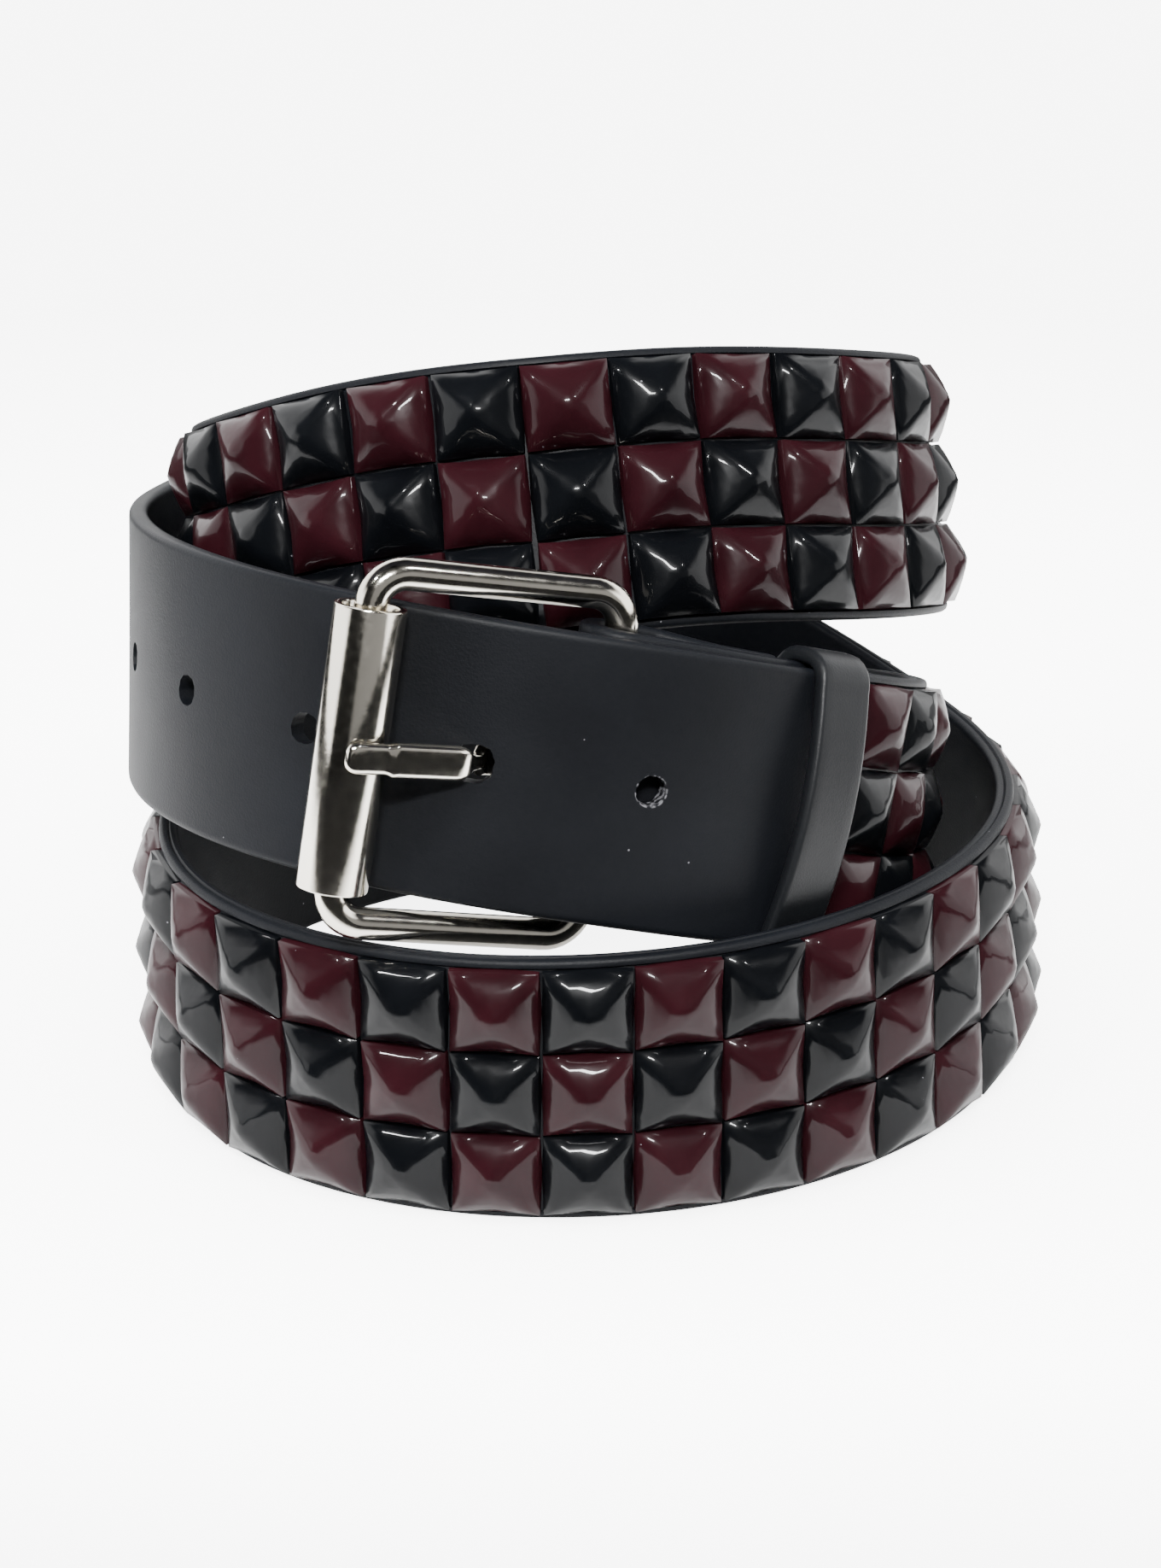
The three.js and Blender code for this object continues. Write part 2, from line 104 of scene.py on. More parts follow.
# The way the strap runs, a row every 45 degrees from the buckle on: the lower edge's radius as a
# share of the coil's and a number of layers, its height as a share of the strap's width, and how
# far the top edge leans out, in degrees.
ROW_STEP = 45
ROUTE = (
    # radius, layer, height, lean
    (0.955, 0, 1.11, -8.5),
    (0.87, 0, 0.71, -3.5),
    (0.89, 0, 0.335, 1),
    (0.885, 0, 0.085, 0.5),
    (0.872, 0, 0, -0.5),
    (0.89, 0, 0, -1.5),
    (1, 0, 0, -2.5),
    (1.11, 0.3, 0, 2),
    (1.028, 0.6, 0, 0.5),
    (0.966, 1, 0, -5),
    (1.032, 1, 0, -3),
    (1.01, 1, 0, -1),
    (0.974, 1, 0.49, 0.5),
    (0.9, 1, 1.05, 2),
    (0.76, 1, 1.35, 2.5),
    (0.47, 1.3, 1.79, -18),
    (0.372, 1.6, 1.915, -23.5),
    (0.29, 2, 1.9, -25.5),
    (0.58, 2, 1.695, -13),
    (0.947, 2, 1.27, -1),
    (1.115, 2, 1.025, 3),
    (0.953, 2, 0.835, 5.5),
    (0.76, 2, 1.045, -0.5),
    (0.84, 2, 1.25, -16),
)
TURNS = 3
PLAIN_STEP = 6.5
UP = Vector((0, 0, 1))
FACE = STRAP_THICKNESS / 2


def route_rows():
    pitch = STRAP_THICKNESS + STUD_HEIGHT + TURN_SLACK
    rows = [(r * COIL_RADIUS + n * pitch, h * STRAP_WIDTH, lean) for r, n, h, lean in ROUTE]
    steepest = min(row[2] for row in rows[:2])
    lay = (STRAP_THICKNESS + GAP) / cos(radians(steepest)) + GAP / 2
    before = (rows[-1][0] - lay, *rows[-1][1:])
    over = [(row[0] + lay, *row[1:]) for row in rows[:4]]
    return [before, *rows, *over], lay


rows, lay = route_rows()


def blend(column, angle):
    """A column of the route at an angle, and its slope."""
    place = max(0, angle / ROW_STEP)
    first = min(floor(place), len(rows) - 4)
    f = place - first
    a, b, c, d = (row[column] for row in rows[first:first + 4])
    value = ((1 - f) ** 3 * a + (3 * f ** 3 - 6 * f ** 2 + 4) * b
             + (-3 * f ** 3 + 3 * f ** 2 + 3 * f + 1) * c + f ** 3 * d) / 6
    slope = (-3 * (1 - f) ** 2 * a + (9 * f ** 2 - 12 * f) * b
             + (-9 * f ** 2 + 6 * f + 3) * c + 3 * f ** 2 * d) / 6 / radians(ROW_STEP)
    return value, slope


def section_at(angle):
    """The strap's middle at an angle, and the directions along, across and out of it."""
    turn = radians(angle)
    radius, grows = blend(0, angle)
    height, rises = blend(1, angle)
    lean = radians(blend(2, angle)[0])
    foot = Vector((radius * sin(turn), -radius * cos(turn), height))
    along = Vector((grows * sin(turn) + radius * cos(turn),
                    -grows * cos(turn) + radius * sin(turn), rises)).normalized()
    level = Vector((along.y, -along.x, 0)).normalized()
    across = level.cross(along) * cos(lean) + level * sin(lean)
    return foot + across * STRAP_WIDTH / 2, along, across, along.cross(across)


def measure_route():
    found, length = [], 0
    for angle in range((len(rows) - 3) * ROW_STEP + 1):
        at = section_at(angle)
        if found:
            length += (at[0] - found[-1][1][0]).length
        found.append((length, at))
    return found


sections = measure_route()


def length_at(angle):
    first = min(floor(angle), len(sections) - 2)
    return sections[first][0] + (sections[first + 1][0] - sections[first][0]) * (angle - first)


def section(length):
    low, high = 0, len(sections) - 1
    while high - low > 1:
        half = (low + high) // 2
        if sections[half][0] > length:
            high = half
        else:
            low = half
    share = (length - sections[low][0]) / (sections[high][0] - sections[low][0])
    middle, *ways = (a.lerp(b, share) for a, b in zip(sections[low][1], sections[high][1]))
    return (middle, *(way.normalized() for way in ways))


def place(length, across, out):
    at = section(length)
    return at[0] + at[2] * across + at[3] * out


heel_inner = length_at(HEEL_ANGLE)
heel_outer = length_at(HEEL_ANGLE + TURNS * 360)
roller_at = heel_outer - FRAME_REACH
prong_hole_at = heel_outer - PRONG_HOLE_FROM_HEEL
keeper_at = heel_outer + KEEPER_FROM_HEEL
tip_at = keeper_at + KEEPER_WIDTH / 2 + TIP_PAST_KEEPER
stud_start = heel_inner + PLAIN_BUCKLE_END
stud_columns = floor((length_at(STUD_END_ANGLE) - stud_start) / STUD_PITCH)
stud_end = stud_start + stud_columns * STUD_PITCH
heel_depth = FACE + HEEL_SLACK + WIRE / 2
roller_rise = FACE + GAP + ROLLER_DIAMETER / 2


def route_shift():
    """What brings the route to the CAD strap: their boxes' lowest corners are set together."""
    low = Vector((1e9, 1e9, 1e9))
    spans = ((heel_inner, stud_start, PLAIN_STEP), (stud_start, stud_end, STUD_PITCH),
             (stud_end, tip_at - 1.5, PLAIN_STEP))
    for start, end, step in spans:
        count = ceil((end - start) / step)
        for i in range(count):
            middle, _, across, out = section(start + (end - start) * i / count)
            for w, t in ((STRAP_WIDTH / 2, FACE - EDGE_CHAMFER), (STRAP_WIDTH / 2 - EDGE_CHAMFER, FACE)):
                for p, q in ((1, 1), (1, -1), (-1, 1), (-1, -1)):
                    corner = middle + across * w * p + out * t * q
                    low = Vector(map(min, low, corner))
    return Vector(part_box("leather_strap")[0]) - low * MM


shift = route_shift()


def in_scene(middle, x_axis, y_axis, z_axis):
    """A matrix that takes millimetres on these axes to metres in the scene."""
    axes = Matrix((x_axis, y_axis, z_axis)).transposed().to_4x4()
    return Matrix.Translation(middle * MM + shift) @ axes


def buckle_axes():
    heel = place(heel_inner, 0, -heel_depth)
    roller = place(roller_at, 0, roller_rise)
    forward = roller - heel
    reach = forward.length
    forward.normalize()
    across = (section(heel_inner)[2] + section(roller_at)[2]).normalized()
    across = (across - forward * across.dot(forward)).normalized()
    return heel, forward, across, across.cross(forward).normalized(), reach


buckle_heel, forward, buckle_across, buckle_out, reach = buckle_axes()


# Working by hand

def deselect():
    if bpy.context.object and bpy.context.object.mode != "OBJECT":
        bpy.ops.object.mode_set(mode="OBJECT")
    bpy.ops.object.select_all(action="DESELECT")


def started(name):
    """The primitive that was just added, named and the only thing selected."""
    piece = bpy.context.object
    piece.name = piece.data.name = name
    return piece


def box(name, low, high):
    """A block between two corners, in millimetres."""
    deselect()
    low, high = Vector(low) * MM, Vector(high) * MM
    bpy.ops.mesh.primitive_cube_add(size=1, location=(low + high) / 2)
    bpy.ops.transform.resize(value=high - low)
    bpy.ops.object.transform_apply()
    return started(name)


def pick(piece, kind, test):
    """In edit mode, selects only the vertices, edges or faces that pass the test."""
    bpy.context.view_layer.objects.active = piece
    if piece.mode != "EDIT":
        bpy.ops.object.mode_set(mode="EDIT")
    bpy.ops.mesh.select_mode(type={"verts": "VERT", "edges": "EDGE", "faces": "FACE"}[kind])
    bpy.ops.mesh.select_all(action="DESELECT")
    bpy.ops.object.mode_set(mode="OBJECT")
    mesh = piece.data
    for item in {"verts": mesh.vertices, "edges": mesh.edges, "faces": mesh.polygons}[kind]:
        if kind == "verts":
            item.select = test(item.co / MM)
        elif kind == "edges":
            item.select = test(*(mesh.vertices[i].co / MM for i in item.vertices))
        else:
            item.select = test(item.center / MM, item.normal)
    bpy.ops.object.mode_set(mode="EDIT")


def runs_along(a, b, axis):
    step = b - a
    return abs(step[axis]) > 0.9999 * step.length


def cut_edges(piece, axis, cuts):
    """Divides every edge that runs along an axis."""
    for number in cuts:
        pick(piece, "edges", lambda a, b: runs_along(a, b, axis))
        bpy.ops.mesh.subdivide(number_cuts=number)


def slice_at(piece, axis, places):
    """Cuts across the whole piece where an axis has these values."""
    normal = [0, 0, 0]
    normal[axis] = 1
    for value in places:
        point = [0, 0, 0]
        point[axis] = value * MM
        pick(piece, "faces", lambda centre, way: True)
        bpy.ops.mesh.bisect(plane_co=point, plane_no=normal)


def nudge(piece, test, by):
    pick(piece, "verts", test)
    bpy.ops.transform.translate(value=Vector(by) * MM)


def apply_all(piece):
    deselect()
    piece.select_set(True)
    bpy.context.view_layer.objects.active = piece
    for modifier in list(piece.modifiers):
        bpy.ops.object.modifier_apply(modifier=modifier.name)


def modify(piece, kind, **values):
    modifier = piece.modifiers.new(kind.title(), kind)
    for key, value in values.items():
        setattr(modifier, key, value)
    return modifier


def cut_away(piece, cutter):
    """Takes a block's shape out of a piece."""
    modify(piece, "BOOLEAN", operation="DIFFERENCE", solver="EXACT", object=cutter)
    apply_all(piece)
    bpy.data.objects.remove(cutter)


def keep_flat(piece):
    """Keeps the place of each point before bending, for the patterns that follow the piece."""
    flat = piece.data.attributes.new("flat", "FLOAT_VECTOR", "POINT")
    values = [n for vertex in piece.data.vertices for n in vertex.co]
    flat.data.foreach_set("vector", values)


def bend_along(piece, stations, closed=False):
    """Bends a straight piece along stations of point and across, in millimetres.

    The piece's X runs along them, its Z across, and its front, which is -Y, faces outwards."""
    deselect()
    count = len(stations)
    curve = bpy.data.curves.new("bend", "CURVE")
    curve.dimensions = "3D"
    curve.twist_mode = "Z_UP"
    spline = curve.splines.new("POLY")
    spline.points.add(count - 1)
    for i, (point, across) in enumerate(stations):
        after = stations[min(i + 1, count - 1)][0]
        before = stations[max(i - 1, 0)][0]
        along = (after - before).normalized()
        level = Vector((along.y, -along.x, 0)).normalized()
        upright = level.cross(along)
        spline.points[i].co = (*(point * MM), 1)
        spline.points[i].tilt = atan2(across.dot(level), across.dot(upright))
    guide = bpy.data.objects.new("bend", curve)
    bpy.context.scene.collection.objects.link(guide)
    modify(piece, "CURVE", object=guide, deform_axis="POS_X")
    apply_all(piece)
    bpy.data.objects.remove(guide)


def settle(piece, matrix=None, smooth=None):
    """Puts a piece in its place, with its object at the origin, and smooths its faces."""
    deselect()
    piece.select_set(True)
    bpy.context.view_layer.objects.active = piece
    if matrix is not None:
        piece.matrix_world = matrix
    bpy.ops.object.transform_apply()
    if smooth is not None:
        bpy.ops.object.shade_smooth_by_angle(angle=radians(smooth))
    return piece


def dress(piece, material, slot, *nodes):
    piece.data.materials.clear()
    piece.data.materials.append(material)
    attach(piece, "root")
    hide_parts(*nodes)
    return piece


# Materials

def material(name, **values):
    made = bpy.data.materials.new(name)
    made.use_nodes = True
    shader = made.node_tree.nodes["Principled BSDF"]
    for key, value in values.items():
        shader.inputs[key.replace("_", " ").title().replace("Ior", "IOR")].default_value = value
    return made, made.node_tree, shader


def node(tree, kind, links=(), **values):
    """A node with its values set and its inputs linked, from pairs of input and source."""
    made = tree.nodes.new(kind)
    for key, value in values.items():
        if hasattr(made, key):
            setattr(made, key, value)
        else:
            made.inputs[key].default_value = value
    for socket, source in dict(links).items():
        tree.links.new(source, made.inputs[socket])
    return made


def grain_group():
    """Fine leather grain: pebbles, pores and specks of lint, from a place in metres."""
    group = bpy.data.node_groups.new("leather grain", "ShaderNodeTree")
    group.interface.new_socket("Place", in_out="INPUT", socket_type="NodeSocketVector")
    group.interface.new_socket("Pebble", in_out="INPUT", socket_type="NodeSocketFloat")
    for name in ("Height", "Cloud", "Speck"):
        group.interface.new_socket(name, in_out="OUTPUT", socket_type="NodeSocketFloat")
    start, end = node(group, "NodeGroupInput"), node(group, "NodeGroupOutput")
    put = start.outputs["Place"]
    pebbles = node(group, "ShaderNodeTexVoronoi", {"Vector": put, "Scale": start.outputs["Pebble"]},
                   feature="F1")
    pores = node(group, "ShaderNodeTexNoise", {"Vector": put}, Scale=5200, Detail=3)
    cloud = node(group, "ShaderNodeTexNoise", {"Vector": put}, Scale=42, Detail=4)
    dots = node(group, "ShaderNodeTexVoronoi", {"Vector": put}, Scale=420)
    near = node(group, "ShaderNodeMath", {0: dots.outputs["Distance"]}, operation="LESS_THAN")
    near.inputs[1].default_value = 0.06
    rare = node(group, "ShaderNodeSeparateColor", {"Color": dots.outputs["Color"]})
    few = node(group, "ShaderNodeMath", {0: rare.outputs["Red"]}, operation="GREATER_THAN")
    few.inputs[1].default_value = 0.93
    speck = node(group, "ShaderNodeMath", {0: near.outputs[0], 1: few.outputs[0]}, operation="MULTIPLY")
    mixed = node(group, "ShaderNodeMath", {0: pebbles.outputs["Distance"], 1: pores.outputs["Fac"]},
                 operation="ADD")
    group.links.new(mixed.outputs[0], end.inputs["Height"])
    group.links.new(cloud.outputs["Fac"], end.inputs["Cloud"])
    group.links.new(speck.outputs[0], end.inputs["Speck"])
    return group


def grain(tree, group, pebble):
    place_of = node(tree, "ShaderNodeAttribute", attribute_name="flat")
    used = node(tree, "ShaderNodeGroup", node_tree=group)
    tree.links.new(place_of.outputs["Vector"], used.inputs["Place"])
    used.inputs["Pebble"].default_value = pebble
    return place_of, used


def leather_material(group):
    """Blue-black leather with frayed fibres round the holes."""
    made, tree, shader = material("belt_leather", roughness=0.48, specular_ior_level=0.15)
    place_of, used = grain(tree, group, 2600)
    tone = node(tree, "ShaderNodeValToRGB", {"Fac": used.outputs["Cloud"]})
    tone.color_ramp.elements[0].position = 0.35
    tone.color_ramp.elements[0].color = (0.0020, 0.0024, 0.0034, 1)
    tone.color_ramp.elements[1].position = 0.7
    tone.color_ramp.elements[1].color = (0.0030, 0.0036, 0.0050, 1)
    # Frayed fibres: a ring round each hole, in the strap's own flat measure
    axes = node(tree, "ShaderNodeSeparateXYZ", {"Vector": place_of.outputs["Vector"]})
    from_hole = node(tree, "ShaderNodeMath", {0: axes.outputs["X"]}, operation="SUBTRACT")
    from_hole.inputs[1].default_value = (on_flat(prong_hole_at) - HOLE_SPACING / 2) * MM
    step = node(tree, "ShaderNodeMath", {0: from_hole.outputs[0]}, operation="MODULO")
    step.inputs[1].default_value = HOLE_SPACING * MM
    side = node(tree, "ShaderNodeMath", {0: step.outputs[0]}, operation="SUBTRACT")
    side.inputs[1].default_value = HOLE_SPACING / 2 * MM
    both = node(tree, "ShaderNodeCombineXYZ", {"X": side.outputs[0], "Y": axes.outputs["Z"]})
    away = node(tree, "ShaderNodeVectorMath", {0: both.outputs[0]}, operation="LENGTH")
    ring = node(tree, "ShaderNodeMapRange", {"Value": away.outputs["Value"]})
    ring.inputs["From Min"].default_value = 2.5 * MM
    ring.inputs["From Max"].default_value = 2.3 * MM
    fibres = node(tree, "ShaderNodeTexNoise", {"Vector": place_of.outputs["Vector"]}, Scale=1500, Detail=5)
    frayed = node(tree, "ShaderNodeMapRange", {"Value": fibres.outputs["Fac"]})
    frayed.inputs["From Min"].default_value = 0.46
    frayed.inputs["From Max"].default_value = 0.58
    torn = node(tree, "ShaderNodeMath", {0: ring.outputs["Result"], 1: frayed.outputs["Result"]},
                operation="MULTIPLY")
    tail = node(tree, "ShaderNodeMath", {0: axes.outputs["X"]}, operation="GREATER_THAN")
    tail.inputs[1].default_value = on_flat(stud_end) * MM
    before_end = node(tree, "ShaderNodeMath", {0: axes.outputs["X"]}, operation="LESS_THAN")
    before_end.inputs[1].default_value = on_flat(prong_hole_at + HOLE_SPACING * 1.5) * MM
    holed = node(tree, "ShaderNodeMath", {0: tail.outputs[0], 1: before_end.outputs[0]},
                 operation="MULTIPLY")
    torn_here = node(tree, "ShaderNodeMath", {0: torn.outputs[0], 1: holed.outputs[0]}, operation="MULTIPLY")
    light = node(tree, "ShaderNodeMath", {0: torn_here.outputs[0], 1: used.outputs["Speck"]},
                 operation="MAXIMUM")
    colour = node(tree, "ShaderNodeMix", {"Factor": light.outputs[0]}, data_type="RGBA")
    tree.links.new(tone.outputs["Color"], colour.inputs["A"])
    colour.inputs["B"].default_value = (0.14, 0.14, 0.15, 1)
    tree.links.new(colour.outputs["Result"], shader.inputs["Base Color"])
    rough = node(tree, "ShaderNodeMapRange", {"Value": used.outputs["Cloud"]})
    rough.inputs["To Min"].default_value = 0.42
    rough.inputs["To Max"].default_value = 0.6
    tree.links.new(rough.outputs["Result"], shader.inputs["Roughness"])
    bump = node(tree, "ShaderNodeBump", {"Height": used.outputs["Height"]}, Strength=0.35, Distance=0.00006)
    tree.links.new(bump.outputs["Normal"], shader.inputs["Normal"])
    return made


def keeper_material(group):
    """The keeper's leather: the same hide, smoother and a little glossier."""
    made, tree, shader = material("keeper_leather", roughness=0.42, specular_ior_level=0.25)
    place_of, used = grain(tree, group, 3000)
    tone = node(tree, "ShaderNodeValToRGB", {"Fac": used.outputs["Cloud"]})
    tone.color_ramp.elements[0].color = (0.0026, 0.0030, 0.0037, 1)
    tone.color_ramp.elements[1].color = (0.0038, 0.0043, 0.0052, 1)
    tree.links.new(tone.outputs["Color"], shader.inputs["Base Color"])
    bump = node(tree, "ShaderNodeBump", {"Height": used.outputs["Height"]}, Strength=0.3, Distance=0.00005)
    tree.links.new(bump.outputs["Normal"], shader.inputs["Normal"])
    return made


def enamel_material(name, deep, lit, group):
    """Thick glossy enamel with a slight orange peel and dust specks."""
    made, tree, shader = material(name, roughness=0.3, specular_ior_level=0.05, coat_weight=0.22,
                                  coat_roughness=0.03, coat_ior=1.5)
    put = node(tree, "ShaderNodeTexCoord").outputs["Object"]
    cloud = node(tree, "ShaderNodeTexNoise", {"Vector": put}, Scale=120, Detail=2)
    tone = node(tree, "ShaderNodeValToRGB", {"Fac": cloud.outputs["Fac"]})
    tone.color_ramp.elements[0].position = 0.3
    tone.color_ramp.elements[0].color = (*deep, 1)
    tone.color_ramp.elements[1].position = 0.75
    tone.color_ramp.elements[1].color = (*lit, 1)
    dust = node(tree, "ShaderNodeGroup", {"Place": put}, node_tree=group)
    dust.inputs["Pebble"].default_value = 900
    colour = node(tree, "ShaderNodeMix", {"Factor": dust.outputs["Speck"]}, data_type="RGBA")
    tree.links.new(tone.outputs["Color"], colour.inputs["A"])
    colour.inputs["B"].default_value = (0.09, 0.09, 0.1, 1)
    tree.links.new(colour.outputs["Result"], shader.inputs["Base Color"])
    peel = node(tree, "ShaderNodeTexNoise", {"Vector": put}, Scale=480, Detail=1)
    bump = node(tree, "ShaderNodeBump", {"Height": peel.outputs["Fac"]}, Strength=0.12, Distance=0.00025)
    tree.links.new(bump.outputs["Normal"], shader.inputs["Normal"])
    return made


def nickel_material():
    """Bright warm nickel plate with fine scratches and orange peel."""
    made, tree, shader = material("nickel_plate", metallic=1.0, roughness=0.1)
    put = node(tree, "ShaderNodeTexCoord").outputs["Object"]
    cloud = node(tree, "ShaderNodeTexNoise", {"Vector": put}, Scale=90, Detail=3)
    tone = node(tree, "ShaderNodeValToRGB", {"Fac": cloud.outputs["Fac"]})
    tone.color_ramp.elements[0].color = (0.70, 0.655, 0.56, 1)
    tone.color_ramp.elements[1].color = (0.86, 0.82, 0.73, 1)
    tree.links.new(tone.outputs["Color"], shader.inputs["Base Color"])
    fine = node(tree, "ShaderNodeTexNoise", {"Vector": put}, Scale=900, Detail=4)
    rough = node(tree, "ShaderNodeMapRange", {"Value": fine.outputs["Fac"]})
    rough.inputs["To Min"].default_value = 0.06
    rough.inputs["To Max"].default_value = 0.2
    tree.links.new(rough.outputs["Result"], shader.inputs["Roughness"])
    bump = node(tree, "ShaderNodeBump", {"Height": fine.outputs["Fac"]}, Strength=0.1, Distance=0.0001)
    tree.links.new(bump.outputs["Normal"], shader.inputs["Normal"])
    return made


# The strap

def strap_stations():
    """The strap's middle line: its end behind the heel bar, round the bar, then the coil."""
    stations = []
    slope_start = WIRE + HEEL_SLACK
    slope_end = 3 * slope_start
    t = FOLD_LENGTH
    while t > 0:
        share = min(1, max(0, (t - slope_start) / (slope_end - slope_start)))
        share = share * share * (3 - 2 * share)
        depth = 2 * heel_depth + (STRAP_THICKNESS + GAP - 2 * heel_depth) * share
        middle, _, across, out = section(heel_inner + t)
        turned = buckle_across.lerp(across, min(1, t / slope_end)).normalized()
        stations.append((middle - out * depth, turned))
        t -= 1
    _, along, _, out = section(heel_inner)
    for turn in range(180, -1, -10):
        point = buckle_heel + out * heel_depth * cos(radians(turn)) - along * heel_depth * sin(radians(turn))
        stations.append((point, buckle_across))
    fold = sum((b[0] - a[0]).length for a, b in zip(stations, stations[1:]))
    length = heel_inner + 1
    while length < tip_at + 2:
        middle, _, across, _ = section(length)
        share = min(1, (length - heel_inner) / PLAIN_STEP)
        stations.append((middle, buckle_across.lerp(across, share).normalized()))
        length += 1
    return stations, fold


strap_line, fold_length = strap_stations()


def on_flat(length):
    """Where a length of strap lies along the flat belt, whose X starts at its folded end."""
    return fold_length + length - heel_inner


def strap():
    """The belt as it is cut: a long block with rounded edges, creased edges and punched holes."""
    half, face = STRAP_WIDTH / 2, FACE
    end = on_flat(tip_at)
    belt = box("strap", (0, -face, -half), (end, face, half))
    pick(belt, "edges", lambda a, b: runs_along(a, b, 0))
    bpy.ops.mesh.bevel(offset=EDGE_ROUNDING * MM, segments=4, profile=0.6)
    pick(belt, "edges", lambda a, b: a.x > end - 0.01 and b.x > end - 0.01)
    bpy.ops.mesh.bevel(offset=0.5 * MM, segments=2)
    crease = half - CREASE_FROM_EDGE
    slice_at(belt, 2, [s * (crease + d) for s in (-1, 1) for d in (-0.3, 0, 0.3)] + [-10, 0, 10])
    slice_at(belt, 1, [-0.3, 0, 0.3])
    slice_at(belt, 0, [on_flat(stud_start) - 4, on_flat(stud_end) + 3])
    cut_edges(belt, 0, (20, 20))
    studded = (on_flat(stud_start) - 3, on_flat(stud_end) + 2)
    inside = lambda p: studded[0] < p.x < studded[1]
    nudge(belt, lambda p: inside(p) and p.y < -face + 0.05 and abs(abs(p.z) - crease) < 0.05, (0, 0.4, 0))
    for side in (-1, 1):
        nudge(belt, lambda p: inside(p) and abs(p.y) < 0.05 and p.z * side > half - 0.05,
              (0, 0, -0.3 * side))
    bpy.ops.object.mode_set(mode="OBJECT")
    for i in range(-HOLES_ALONG_TAIL, HOLES_TOWARDS_TIP + 1):
        x = on_flat(prong_hole_at + i * HOLE_SPACING)
        if i:
            cut_away(belt, punch(x))
        else:
            cut_away(belt, long_punch(x))
    cut_away(belt, box("slot", (fold_length - 13, -5, -PRONG_WIDTH / 2 - GAP),
                       (fold_length + 2, 5, PRONG_WIDTH / 2 + GAP)))
    keep_flat(belt)
    bend_along(belt, strap_line)
    return settle(belt, Matrix.Translation(shift), 35)


def punch(x):
    """A slightly ragged punch for a round hole."""
    deselect()
    bpy.ops.mesh.primitive_cylinder_add(vertices=40, radius=HOLE_DIAMETER / 2 * MM, depth=9 * MM,
                                        location=(x * MM, 0, 0), rotation=(pi / 2, 0, 0))
    bpy.ops.object.transform_apply()
    cutter = started("punch")
    for vertex in cutter.data.vertices:
        turn = atan2(vertex.co.z, vertex.co.x - x * MM)
        ragged = 1 + 0.018 * sin(4 * turn + x) + 0.02 * sin(11 * turn + 2 * x)
        vertex.co.x = x * MM + (vertex.co.x - x * MM) * ragged
        vertex.co.z *= ragged
    return cutter


def long_punch(x):
    """The prong's hole, drawn out lengthwise."""
    half = PRONG_HOLE_LENGTH / 2
    cutter = box("long_punch", (x - half, -5, -PRONG_WIDTH / 2 - GAP), (x + half, 5, PRONG_WIDTH / 2 + GAP))
    pick(cutter, "edges", lambda a, b: runs_along(a, b, 1))
    bpy.ops.mesh.bevel(offset=2.4 * MM, segments=7)
    bpy.ops.object.mode_set(mode="OBJECT")
    for vertex in cutter.data.vertices:
        turn = atan2(vertex.co.z, vertex.co.x - x * MM)
        ragged = 1 + 0.03 * sin(9 * turn) + 0.02 * sin(17 * turn + 1)
        vertex.co.x = x * MM + (vertex.co.x - x * MM) * ragged
        vertex.co.z *= ragged
    return cutter


# The studs

STUD_BASE = (13.45, 13.15)
STUD_SUNK = 0.4
CORNER_HEIGHT = 0.9
RIM_HEIGHT = 2.4
RIM_IN = 2.3
APEX_HEIGHT = 4.7
SHOULDER = 0.5
SHOULDER_RISE = 0.32
RIM_CREASE = 0.85
RIDGE_CREASE = 0.75
TOP_CREASE = 0.2


def one_stud():
    """A pyramid with drawn-in sides: a steep wall up to a curved rim, then four soft faces."""
    deselect()
    long, wide = STUD_BASE
    bpy.ops.mesh.primitive_plane_add(size=1, location=(0, 0, -STUD_SUNK * MM))
    bpy.ops.transform.resize(value=(long * MM, wide * MM, 1))
    bpy.ops.object.transform_apply()
    stud = started("stud")
    top = lambda centre, way: abs(way.z) > 0.5 and centre.z > 0
    pick(stud, "faces", lambda centre, way: True)
    bpy.ops.mesh.extrude_region_move(
        TRANSFORM_OT_translate={"value": (0, 0, (STUD_SUNK + CORNER_HEIGHT) * MM)})
    pick(stud, "edges", lambda a, b: min(a.z, b.z) > 0)
    bpy.ops.mesh.subdivide(number_cuts=1)
    for x, y in ((1, 0), (-1, 0), (0, 1), (0, -1)):
        middle = Vector((x * long / 2, y * wide / 2))
        nudge(stud, lambda p: p.z > 0 and (p.xy - middle).length < 0.05,
              (-x * RIM_IN, -y * RIM_IN, RIM_HEIGHT - CORNER_HEIGHT))
    pick(stud, "faces", top)
    bpy.ops.mesh.extrude_region_move()
    bpy.ops.transform.resize(value=(SHOULDER,) * 3, center_override=(0, 0, APEX_HEIGHT * MM))
    bpy.ops.transform.translate(value=(0, 0, SHOULDER_RISE * MM))
    bpy.ops.mesh.poke()
    bpy.ops.object.mode_set(mode="OBJECT")
    apex = max((v.co for v in stud.data.vertices if v.co.xy.length < 0.05 * MM), key=lambda p: p.z) / MM
    nudge(stud, lambda p: p.xy.length < 0.05 and p.z > 1, (0, 0, APEX_HEIGHT - apex.z))
    return stud


def crease(piece, value, test):
    pick(piece, "edges", test)
    bpy.ops.transform.edge_crease(value=value)


